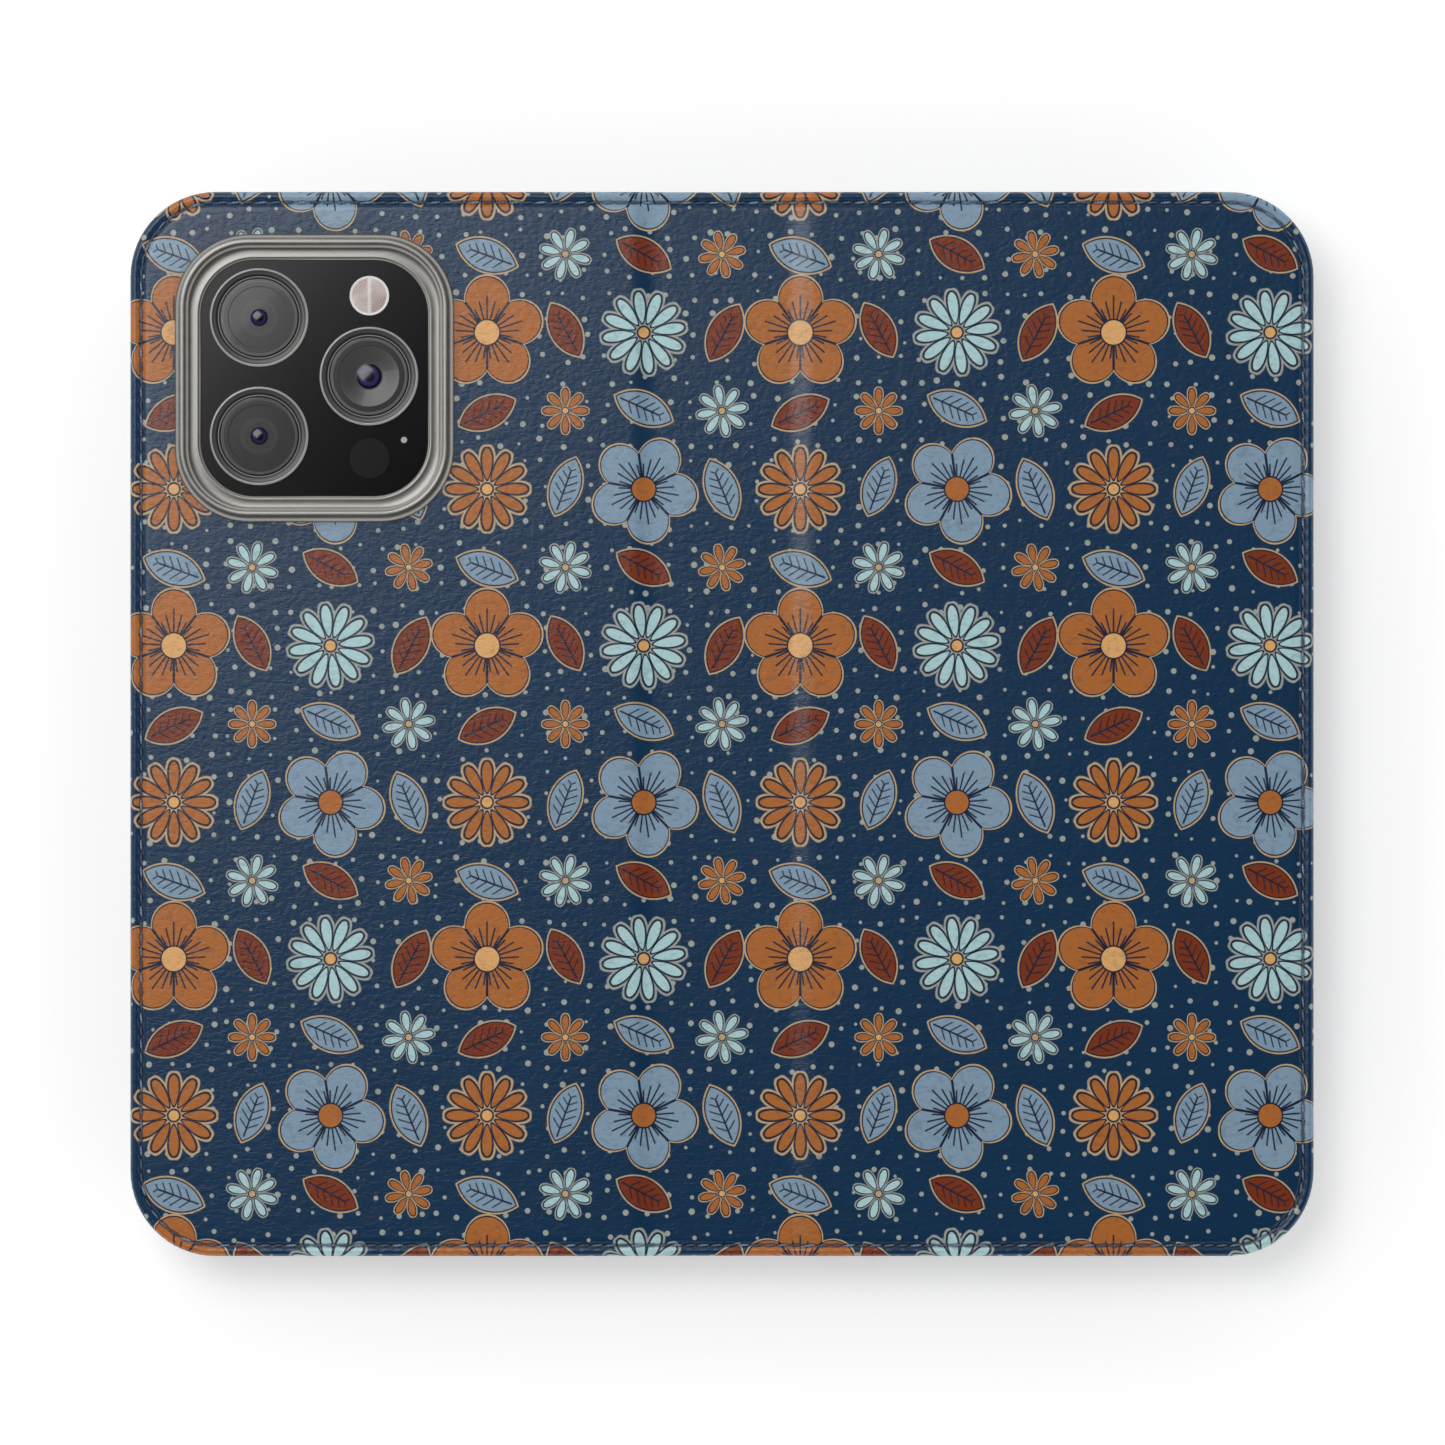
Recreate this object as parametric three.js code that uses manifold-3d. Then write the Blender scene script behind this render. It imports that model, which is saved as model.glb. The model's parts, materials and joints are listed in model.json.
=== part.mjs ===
// Folio case for a large handset, lying opened flat with its printed outside up.
// The back cover with the handset tray is on the -X side, the soft spine is in the middle
// and the front cover is on the +X side. The tray opens towards -Z and rests on its lip.
// Millimetres, +Z up. Origin: centre of the flat cover, in the plane of the tray's lip.

import * as THREE from 'three';
import { mergeVertices } from 'three/addons/utils/BufferGeometryUtils.js';
import Module from 'manifold-3d';

const wasm = await Module();
wasm.setup();

// ---------------------------------------------------------------- driving dimensions

const COVER = { width: 189.0, height: 170.0, corner: 13.6 };
const HANDSET = { width: 78.1, height: 160.8, depth: 7.65, corner: 10.4 };
const LAYER = { skin: 0.9, board: 1.0, lining: 0.5, adhesive: 0.18, pocket: 0.4 };
const BOND = 0.06; // glue line between two layers
const EDGE_PLAY = 0.1; // between a layer and the turned-down rim of the skin

const TRAY = { wall: 1.1, plate: 1.1, lip: 1.0, overhang: 0.7, bevel: 0.8, play: 0.15 };
const TRAY_X = -53.55; // middle of the tray
const ADHESIVE_INSET = 2.5; // adhesive sheet inside the tray's outline

// The spine folds on two lines. The slits leave room for a quarter turn either way.
const SPINE = { boardEdge: 12.6, fold: 8.4, skinSlit: 1.0, liningSlit: 2.2 };

// The camera cut-out: the window is where the guard plate lies, and the bezel's flange is
// pressed a little into the skin.
const CAMERA = { x: -65.05, y: 55.2 };
const WINDOW = { width: 36.5, height: 37.9, corner: 8.6 };
const BEZEL = { side: 4.05, corner: 11.8, neck: 1.2, ledge: 0.9, base: 0.86, crest: 1.2 };
const BED = { depth: 0.2, play: 0.1 }; // the flange's bed in the skin
const CREST_BAND = { from: 0.5, to: 2.15 }; // raised bead, measured in from the flange's edge
const CUT_PLAY = 0.2; // round the bezel's neck
const GUARD = { thickness: 0.7, play: 0.12 };

const LENS = { outer: 7.88, inner: 6.35, height: 0.75, glass: 6.2, glassHeight: 0.4 };
const LENS_PLACES = [[-73.85, 64.85], [-73.85, 45.95], [-56.33, 55.5]];
const FLASH = { x: -56.27, y: 68.35, radius: 3.15, height: 0.3 };
const SENSOR = { x: -56.22, y: 42.4, radius: 3.2, height: 0.2 };
const MIC = { x: -50.77, y: 45.35, radius: 0.5 };

const SEAM = { inset: 1.75, thread: 0.5, height: 0.26, sunk: 0.02, play: 0.06 };
const MAGNET = { x: 87.0, rows: [10.0, -50.0], radius: 5.0, thickness: 0.85, play: 0.2 };

const CASH_POCKET = { from: 20.0, to: 91.0, height: 156.0, corner: 4.0 };
const CARD_POCKET = { count: 3, from: 31.0, step: 11.0, to: 91.0, height: 94.0, corner: 3.0 };
const POCKET_GAP = 0.1;

const CUT_LOW = 2.2; // cut-outs in the tray's side walls, from the lip plane
const CUT_HIGH = 7.4;
const WALL_CUTS = [
  { wall: 'bottom', from: -30.0, to: 30.0 }, // charging port and speakers
  { wall: 'top', from: -4.0, to: 4.0 }, // microphone
  { wall: 'fore_edge', from: 12.0, to: 34.0 }, // side button
  { wall: 'spine_edge', from: 6.0, to: 54.0 }, // volume and mute buttons
];

const CORNER_STEPS = 10; // straight steps in each rounded cover corner
const CURVE_STEPS = 4; // each rounded corner of a window or tray has twice as many
const ROUND_STEPS = 32; // steps round a lens

// ---------------------------------------------------------------- heights

const SEAT_Z = TRAY.lip + HANDSET.depth + TRAY.play;
const TRAY_TOP = SEAT_Z + TRAY.plate;
const ADHESIVE_Z = TRAY_TOP + BOND;
const LINING_Z = ADHESIVE_Z + LAYER.adhesive + BOND;
const BOARD_Z = LINING_Z + LAYER.lining + BOND;
const SKIN_Z = BOARD_Z + LAYER.board + BOND;
const FACE_Z = SKIN_Z + LAYER.skin; // the printed outside
const SPINE_LINING_Z = SKIN_Z - BOND - LAYER.lining;
const GUARD_Z = FACE_Z - GUARD.thickness;
const LENS_Z = FACE_Z + BOND;

// ---------------------------------------------------------------- solids

const TINY = 0.01;

function solid(geometry) {
  const bare = geometry.index ? geometry.toNonIndexed() : geometry.clone();
  bare.deleteAttribute('normal');
  bare.deleteAttribute('uv');
  const merged = mergeVertices(bare, 1e-4);
  return new wasm.Manifold(new wasm.Mesh({
    numProp: 3,
    vertProperties: new Float32Array(merged.attributes.position.array),
    triVerts: new Uint32Array(merged.index.array),
  }));
}

function geometryOf(manifold) {
  const mesh = manifold.getMesh();
  const geometry = new THREE.BufferGeometry();
  geometry.setAttribute('position', new THREE.BufferAttribute(mesh.vertProperties, 3));
  geometry.setIndex(new THREE.BufferAttribute(mesh.triVerts, 1));
  geometry.computeVertexNormals();
  return geometry;
}

function prism(shape, low, high) {
  const settings = { depth: high - low, bevelEnabled: false, curveSegments: CURVE_STEPS };
  return new THREE.ExtrudeGeometry(shape, settings).translate(0, 0, low);
}

function block(x0, x1, y0, y1, z0, z1) {
  const box = new THREE.BoxGeometry(x1 - x0, y1 - y0, z1 - z0);
  return box.translate((x0 + x1) / 2, (y0 + y1) / 2, (z0 + z1) / 2);
}

function roundedRect(cx, cy, width, height, corner) {
  const x = width / 2 - corner;
  const y = height / 2 - corner;
  const quarter = Math.PI / 2;
  const shape = new THREE.Shape();
  shape.absarc(cx + x, cy - y, corner, -quarter, 0, false);
  shape.absarc(cx + x, cy + y, corner, 0, quarter, false);
  shape.absarc(cx - x, cy + y, corner, quarter, 2 * quarter, false);
  shape.absarc(cx - x, cy - y, corner, 2 * quarter, 3 * quarter, false);
  return shape;
}

// One cover's outline: straight at the spine, round at its two outer corners.
// side is -1 for the back cover and 1 for the front cover.
function coverShape(side, spineEdge, inset) {
  const corner = COVER.corner - inset;
  const x = COVER.width / 2 - COVER.corner;
  const y = COVER.height / 2 - COVER.corner;
  const points = [new THREE.Vector2(side * spineEdge, -y - corner)];
  for (const end of [-1, 1]) {
    for (let step = 0; step <= CORNER_STEPS; step++) {
      const turn = (Math.PI / 2) * (step / CORNER_STEPS - (end < 0 ? 1 : 0));
      points.push(new THREE.Vector2(
        side * (x + corner * Math.cos(turn)),
        end * y + corner * Math.sin(turn),
      ));
    }
  }
  points.push(new THREE.Vector2(side * spineEdge, y + corner));
  return new THREE.Shape(points);
}

function windowShape(grow, corner = WINDOW.corner + grow) {
  const width = WINDOW.width + 2 * grow;
  const height = WINDOW.height + 2 * grow;
  return roundedRect(CAMERA.x, CAMERA.y, width, height, corner);
}

function disc(x, y, radius, low, high) {
  const cylinder = new THREE.CylinderGeometry(radius, radius, high - low, ROUND_STEPS);
  return cylinder.rotateX(Math.PI / 2).translate(x, y, (low + high) / 2);
}

// ---------------------------------------------------------------- materials

const finish = (color, roughness, metalness = 0) => (
  new THREE.MeshStandardMaterial({ color, roughness, metalness })
);
const printedLeather = finish(0x2c4a68, 0.55);
const liningCloth = finish(0x2a3442, 0.9);
const greyBoard = finish(0x8b8578, 0.95);
const adhesiveFilm = finish(0xd8d4c8, 0.6);
const trayPlastic = finish(0x1c222b, 0.4);
const satinMetal = finish(0x9a9994, 0.35, 0.9);
const darkGlass = finish(0x161616, 0.15);
const lensMetal = finish(0x54524e, 0.3, 0.9);
const lensGlass = finish(0x101014, 0.05);
const flashDiffuser = finish(0xcfc6bd, 0.3);
const pocketLeather = finish(0x2b4058, 0.6);
const magnetSteel = finish(0xa9abad, 0.3, 1.0);
const threadCotton = finish(0x1a2c42, 0.85);

const folio = new THREE.Group();

function place(name, geometry, material) {
  const mesh = new THREE.Mesh(geometry, material);
  mesh.name = name;
  folio.add(mesh);
}

// ---------------------------------------------------------------- covers

const SHEET_EDGE = SPINE.fold + SPINE.skinSlit / 2;
const SOFT_EDGE = SPINE.fold + SPINE.liningSlit / 2; // where the lining and rim of a cover begin
const THREAD_TOP = FACE_Z - SEAM.sunk;
const THREAD_LOW = THREAD_TOP - SEAM.height;

// The band round three edges of a cover where the seam runs.
function seamBand(side, edge, grow, low, high) {
  const outer = coverShape(side, edge, SEAM.inset - SEAM.thread / 2 - grow);
  const inner = coverShape(side, edge - 1, SEAM.inset + SEAM.thread / 2 + grow);
  return solid(prism(outer, low, high)).subtract(solid(prism(inner, low - 1, high + 1)));
}

// Two strips along X, one at each end of the object, between two insets from its edge.
function endStrips(x0, x1, from, to, low, high) {
  const y = COVER.height / 2;
  return [
    solid(block(x0, x1, y - to, y - from, low, high)),
    solid(block(x0, x1, from - y, to - y, low, high)),
  ];
}

function sorted(a, b) {
  return [Math.min(a, b), Math.max(a, b)];
}

// The leather skin of one cover, with its rim turned down over the board's edge and a groove
// for the seam.
function coverSkin(side) {
  const sheet = solid(prism(coverShape(side, SHEET_EDGE, 0), SKIN_Z, FACE_Z));
  const rimBlock = solid(prism(coverShape(side, SPINE.boardEdge, 0), LINING_Z, SKIN_Z + TINY));
  const inside = coverShape(side, SPINE.boardEdge - 1, LAYER.skin);
  const hollow = solid(prism(inside, LINING_Z - 1, SKIN_Z + 1));
  let skin = sheet.add(rimBlock.subtract(hollow));
  const [x0, x1] = sorted(side * SOFT_EDGE, side * (SPINE.boardEdge + TINY));
  for (const rim of endStrips(x0, x1, 0, LAYER.skin, SPINE_LINING_Z, SKIN_Z + TINY)) {
    skin = skin.add(rim);
  }
  const low = THREAD_LOW - SEAM.play;
  return skin.subtract(seamBand(side, SHEET_EDGE - 1, SEAM.play, low, FACE_Z + 1));
}

// Where the bezel's flange is pressed into the skin.
function bezelBed() {
  const shape = windowShape(BEZEL.side + BED.play, BEZEL.corner + BED.play);
  return solid(prism(shape, FACE_Z - BED.depth, FACE_Z + 2));
}

function cameraCut() {
  const grow = BEZEL.neck + CUT_PLAY;
  return solid(prism(windowShape(grow), 0, FACE_Z + 2));
}

const layerInset = LAYER.skin + EDGE_PLAY;

function coverBoard(side) {
  const shape = coverShape(side, SPINE.boardEdge, layerInset);
  let board = solid(prism(shape, BOARD_Z, BOARD_Z + LAYER.board));
  for (const y of MAGNET.rows) {
    const radius = MAGNET.radius + MAGNET.play;
    board = board.subtract(solid(disc(side * MAGNET.x, y, radius, 0, FACE_Z)));
  }
  return board;
}

// The lining steps up over the board's edge and lies against the soft spine from there on.
function coverLining(side) {
  const step = SPINE.boardEdge - EDGE_PLAY;
  const y = COVER.height / 2 - layerInset;
  const shape = coverShape(side, step - LAYER.lining, layerInset);
  const flat = solid(prism(shape, LINING_Z, LINING_Z + LAYER.lining));
  const top = SPINE_LINING_Z + LAYER.lining;
  const wall = sorted(side * step, side * (step - LAYER.lining));
  const raised = sorted(side * step, side * SOFT_EDGE);
  return flat
    .add(solid(block(...wall, -y, y, LINING_Z, top)))
    .add(solid(block(...raised, -y, y, SPINE_LINING_Z, top)));
}

const backSkin = coverSkin(-1).subtract(cameraCut()).subtract(bezelBed());
place('back_skin', geometryOf(backSkin), printedLeather);
place('back_board', geometryOf(coverBoard(-1).subtract(cameraCut())), greyBoard);
place('back_lining', geometryOf(coverLining(-1).subtract(cameraCut())), liningCloth);
place('front_skin', geometryOf(coverSkin(1)), printedLeather);
place('front_board', geometryOf(coverBoard(1)), greyBoard);
place('front_lining', geometryOf(coverLining(1)), liningCloth);

// ---------------------------------------------------------------- closure magnets

MAGNET.rows.forEach((y, index) => {
  const low = BOARD_Z + (LAYER.board - MAGNET.thickness) / 2;
  const high = low + MAGNET.thickness;
  place(`catch_plate_${index + 1}`, disc(-MAGNET.x, y, MAGNET.radius, low, high), magnetSteel);
  place(`closure_magnet_${index + 1}`, disc(MAGNET.x, y, MAGNET.radius, low, high), magnetSteel);
});

// ---------------------------------------------------------------- spine

const spineHalf = SPINE.fold - SPINE.skinSlit / 2;
const spineSoftHalf = SPINE.fold - SPINE.liningSlit / 2;

function spineSkin() {
  const y = COVER.height / 2;
  let skin = solid(block(-spineHalf, spineHalf, -y, y, SKIN_Z, FACE_Z));
  const x = spineSoftHalf;
  for (const rim of endStrips(-x, x, 0, LAYER.skin, SPINE_LINING_Z, SKIN_Z + TINY)) {
    skin = skin.add(rim);
  }
  const from = SEAM.inset - SEAM.thread / 2 - SEAM.play;
  const to = SEAM.inset + SEAM.thread / 2 + SEAM.play;
  const low = THREAD_LOW - SEAM.play;
  for (const groove of endStrips(-x - 1, x + 1, from, to, low, FACE_Z + 1)) {
    skin = skin.subtract(groove);
  }
  return skin;
}

function spineLining() {
  const y = COVER.height / 2 - layerInset;
  const top = SPINE_LINING_Z + LAYER.lining;
  return block(-spineSoftHalf, spineSoftHalf, -y, y, SPINE_LINING_Z, top);
}

place('spine_skin', geometryOf(spineSkin()), printedLeather);
place('spine_lining', spineLining(), liningCloth);

// ---------------------------------------------------------------- seam thread

for (const [name, side] of [['back', -1], ['front', 1]]) {
  const band = seamBand(side, SHEET_EDGE, 0, THREAD_LOW, THREAD_TOP);
  place(`${name}_seam_thread`, geometryOf(band), threadCotton);
}

for (const [name, end] of [['top', 1], ['bottom', -1]]) {
  const y = end * (COVER.height / 2 - SEAM.inset);
  const half = SEAM.thread / 2;
  const bead = block(-spineHalf, spineHalf, y - half, y + half, THREAD_LOW, THREAD_TOP);
  place(`spine_thread_${name}`, bead, threadCotton);
}

// ---------------------------------------------------------------- handset tray

function wallCut({ wall, from, to }) {
  const reachX = HANDSET.width / 2 + TRAY.wall + 1;
  const reachY = HANDSET.height / 2 + TRAY.wall + 1;
  const depth = TRAY.wall + TRAY.overhang + 2;
  const z = [CUT_LOW, CUT_HIGH];
  if (wall === 'bottom') {
    return block(TRAY_X + from, TRAY_X + to, -reachY, -reachY + depth, ...z);
  }
  if (wall === 'top') {
    return block(TRAY_X + from, TRAY_X + to, reachY - depth, reachY, ...z);
  }
  if (wall === 'fore_edge') {
    return block(TRAY_X - reachX, TRAY_X - reachX + depth, from, to, ...z);
  }
  return block(TRAY_X + reachX - depth, TRAY_X + reachX, from, to, ...z);
}

function trayShape(grow) {
  const width = HANDSET.width + 2 * grow;
  const height = HANDSET.height + 2 * grow;
  return roundedRect(TRAY_X, 0, width, height, HANDSET.corner + grow);
}

function handsetTray() {
  const outside = new THREE.ExtrudeGeometry(trayShape(TRAY.play + TRAY.wall), {
    depth: TRAY_TOP - 2 * TRAY.bevel,
    bevelThickness: TRAY.bevel,
    bevelSize: TRAY.bevel,
    bevelOffset: -TRAY.bevel,
    bevelSegments: 2,
    curveSegments: CURVE_STEPS,
  }).translate(0, 0, TRAY.bevel);
  const bay = prism(trayShape(TRAY.play), TRAY.lip, SEAT_Z);
  const mouth = prism(trayShape(-TRAY.overhang), -1, TRAY.lip + TINY);
  const camera = prism(windowShape(-BEZEL.ledge), SEAT_Z - 1, TRAY_TOP + 1);
  let tray = solid(outside).subtract(solid(bay)).subtract(solid(mouth)).subtract(solid(camera));
  for (const cut of WALL_CUTS) {
    tray = tray.subtract(solid(wallCut(cut)));
  }
  return tray;
}

place('handset_tray', geometryOf(handsetTray()), trayPlastic);

const adhesive = prism(trayShape(-ADHESIVE_INSET), ADHESIVE_Z, ADHESIVE_Z + LAYER.adhesive);
place('tray_adhesive', geometryOf(solid(adhesive).subtract(cameraCut())), adhesiveFilm);

// ---------------------------------------------------------------- camera bezel and guard

function bezelFlange(grow, low, high) {
  const shape = windowShape(BEZEL.side + grow, BEZEL.corner + grow);
  return solid(prism(shape, low, high));
}

function cameraBezel() {
  const low = FACE_Z - BED.depth + BOND;
  const neck = solid(prism(windowShape(BEZEL.neck), TRAY_TOP + BOND, low + TINY));
  const crest = bezelFlange(-CREST_BAND.from, low, low + BEZEL.crest)
    .subtract(bezelFlange(-CREST_BAND.to, low - 1, low + 2));
  return bezelFlange(0, low, low + BEZEL.base)
    .add(crest)
    .add(neck)
    .subtract(solid(prism(windowShape(0), GUARD_Z - BOND, FACE_Z + 3)))
    .subtract(solid(prism(windowShape(-BEZEL.ledge), 0, FACE_Z)));
}

function guardPlate() {
  const plate = solid(prism(windowShape(-GUARD.play), GUARD_Z, FACE_Z));
  return plate.subtract(solid(disc(MIC.x, MIC.y, MIC.radius, 0, FACE_Z + 1)));
}

place('camera_bezel', geometryOf(cameraBezel()), satinMetal);
place('guard_plate', geometryOf(guardPlate()), darkGlass);

function lensRing() {
  const { outer, inner, height } = LENS;
  const chamfer = 0.25;
  const profile = [
    [inner, 0], [outer, 0], [outer, height - chamfer], [outer - chamfer, height],
    [inner + chamfer, height], [inner, height - chamfer], [inner, 0],
  ].map(([radius, z]) => new THREE.Vector2(radius, z));
  return new THREE.LatheGeometry(profile, ROUND_STEPS).rotateX(Math.PI / 2);
}

LENS_PLACES.forEach(([x, y], index) => {
  place(`lens_ring_${index + 1}`, lensRing().translate(x, y, LENS_Z), lensMetal);
  const glass = disc(x, y, LENS.glass, LENS_Z, LENS_Z + LENS.glassHeight);
  place(`lens_window_${index + 1}`, glass, lensGlass);
});

for (const [name, spot, material] of [
  ['flash_window', FLASH, flashDiffuser],
  ['sensor_window', SENSOR, darkGlass],
]) {
  place(name, disc(spot.x, spot.y, spot.radius, LENS_Z, LENS_Z + spot.height), material);
}

// ---------------------------------------------------------------- pockets in the front cover

function pocketPanel({ from, to, height, corner }, layer) {
  const high = LINING_Z - POCKET_GAP - layer * (LAYER.pocket + POCKET_GAP);
  const shape = roundedRect((from + to) / 2, 0, to - from, height, corner);
  return prism(shape, high - LAYER.pocket, high);
}

place('cash_pocket', pocketPanel(CASH_POCKET, 0), pocketLeather);
for (let index = 0; index < CARD_POCKET.count; index++) {
  const pocket = { ...CARD_POCKET, from: CARD_POCKET.from + index * CARD_POCKET.step };
  place(`card_pocket_${index + 1}`, pocketPanel(pocket, index + 1), pocketLeather);
}

export default folio;
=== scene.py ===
import json
import math

import bmesh
import bpy
from mathutils import Matrix, Vector


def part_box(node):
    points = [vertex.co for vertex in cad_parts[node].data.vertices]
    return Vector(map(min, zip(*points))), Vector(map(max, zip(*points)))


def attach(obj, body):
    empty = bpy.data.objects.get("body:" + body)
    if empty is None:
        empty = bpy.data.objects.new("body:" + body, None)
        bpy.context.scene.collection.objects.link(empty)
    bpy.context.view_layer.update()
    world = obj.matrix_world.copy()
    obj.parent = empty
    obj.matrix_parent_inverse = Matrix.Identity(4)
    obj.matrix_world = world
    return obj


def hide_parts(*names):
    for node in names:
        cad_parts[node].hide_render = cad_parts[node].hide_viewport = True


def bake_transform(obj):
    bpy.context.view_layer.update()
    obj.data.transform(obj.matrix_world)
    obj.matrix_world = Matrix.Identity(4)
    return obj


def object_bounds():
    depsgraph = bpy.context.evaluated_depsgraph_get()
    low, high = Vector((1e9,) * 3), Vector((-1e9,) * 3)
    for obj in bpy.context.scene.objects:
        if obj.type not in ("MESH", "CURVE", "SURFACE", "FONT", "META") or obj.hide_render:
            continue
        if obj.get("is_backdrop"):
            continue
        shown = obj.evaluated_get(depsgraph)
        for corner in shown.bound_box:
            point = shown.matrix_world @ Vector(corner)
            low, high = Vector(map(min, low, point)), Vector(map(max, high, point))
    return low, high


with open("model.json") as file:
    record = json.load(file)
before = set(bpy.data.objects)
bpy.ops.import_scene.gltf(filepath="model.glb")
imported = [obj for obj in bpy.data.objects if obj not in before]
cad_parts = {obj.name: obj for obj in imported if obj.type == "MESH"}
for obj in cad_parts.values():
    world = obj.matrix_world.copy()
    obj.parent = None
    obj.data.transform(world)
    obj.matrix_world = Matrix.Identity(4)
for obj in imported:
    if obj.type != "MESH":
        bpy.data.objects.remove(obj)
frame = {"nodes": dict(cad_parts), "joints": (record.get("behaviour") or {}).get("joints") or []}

CAD_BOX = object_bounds()

bl_info = {
    "name": "Folio Phone Case",
    "version": (1, 0, 0),
    "blender": (4, 5, 0),
    "location": "3D View > Sidebar > Folio",
    "description": "Dresses the frame of a folio phone case in printed leather, cloth and metal",
    "category": "Object",
}

# ---------------------------------------------------------------- places from the frame

MM = 0.001


def box_mm(node):
    low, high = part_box(node)
    return low / MM, high / MM


COVER = {
    "width": (CAD_BOX[1].x - CAD_BOX[0].x) / MM,
    "height": (CAD_BOX[1].y - CAD_BOX[0].y) / MM,
}
FACE = box_mm("front_skin")[1].z
RIM_LOW = box_mm("front_skin")[0].z
LINING_LOW = box_mm("front_lining")[0].z
SPINE_LOW = box_mm("spine_lining")[0].z
LINING_THICKNESS = box_mm("spine_lining")[1].z - SPINE_LOW
FOLDS = {joint["name"]: joint for joint in frame["joints"]}
FOLD_X = FOLDS["front_fold"]["pos_m"][0] / MM
FOLD_Z = FOLDS["front_fold"]["pos_m"][2] / MM


# ---------------------------------------------------------------- settings


def length_setting(name, description, default_mm):
    return bpy.props.FloatProperty(
        name=name, description=description, default=default_mm * MM, min=0.0, precision=5,
        unit="LENGTH",
    )


def colour_setting(name, description, default):
    return bpy.props.FloatVectorProperty(
        name=name, description=description, default=default, size=3, min=0.0, max=1.0,
        subtype="COLOR",
    )


class FolioSizes(bpy.types.PropertyGroup):
    """Sizes of the soft and fine parts that the frame doesn't state."""

    cover_corner: length_setting("Cover corner", "Radius of the cover's corners", 13.6)
    leather: length_setting("Leather", "Thickness of the leather skin", 0.9)
    lining_inset: length_setting("Lining inset", "From the cover's edge to the lining", 1.0)
    seam_inset: length_setting("Seam inset", "From the cover's edge to the seam", 1.75)
    stitch_pitch: length_setting("Stitch pitch", "From one stitch to the next", 2.12)
    spine_dip: length_setting("Spine dip", "How far the spine lies below the covers", 0.45)
    window_corner: length_setting("Window corner", "Corner radius of the camera window", 8.6)
    bezel_corner: length_setting("Bezel corner", "Outer corner radius of the bezel", 11.8)
    tray_corner: length_setting("Tray corner", "Corner radius of the handset's bay", 10.4)
    print_repeat: length_setting("Print repeat", "Size of one square of the print", 50.0)


class FolioColours(bpy.types.PropertyGroup):
    """Colours of the print and the finishes, in linear light."""

    navy: colour_setting("Navy", "Ground of the printed leather", (0.003, 0.031, 0.081))
    ink: colour_setting("Ink", "Dark lines of the print", (0.006, 0.015, 0.040))
    orange: colour_setting("Orange", "Orange petals", (0.44, 0.145, 0.031))
    rust: colour_setting("Rust", "Rust leaves", (0.21, 0.034, 0.006))
    cream: colour_setting("Cream", "Light outlines", (0.56, 0.39, 0.22))
    peach: colour_setting("Peach", "Hearts of flowers", (0.78, 0.42, 0.155))
    blue: colour_setting("Blue", "Blue petals and leaves", (0.235, 0.345, 0.455))
    pale: colour_setting("Pale", "Pale petals", (0.44, 0.66, 0.68))
    dust: colour_setting("Dust", "Pin dots and grey outlines", (0.36, 0.39, 0.36))
    metal: colour_setting("Metal", "Satin metal of the bezel", (0.25, 0.242, 0.228))


def sizes():
    return bpy.context.scene.folio_sizes


def colours():
    return bpy.context.scene.folio_colours


def mm(value):
    return value / MM


# ---------------------------------------------------------------- shader maths


class Value:
    """A node's output that adds, subtracts, multiplies and divides like a number."""

    def __init__(self, graph, socket):
        self.graph = graph
        self.socket = socket

    def math(self, operation, *others):
        return self.graph.math(operation, self, *others)

    def folded(self):
        """How far it lies past the nearest whole number, from -0.5 to 0.5."""
        return self.math("WRAP", 0.5, -0.5)

    def __add__(self, other):
        return self.math("ADD", other)

    __radd__ = __add__

    def __mul__(self, other):
        return self.math("MULTIPLY", other)

    __rmul__ = __mul__

    def __sub__(self, other):
        return self.math("SUBTRACT", other)

    def __rsub__(self, other):
        return self.graph.math("SUBTRACT", other, self)

    def __truediv__(self, other):
        return self.math("DIVIDE", other)

    def __abs__(self):
        return self.math("ABSOLUTE")

    def __pow__(self, other):
        return self.math("POWER", other)


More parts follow.
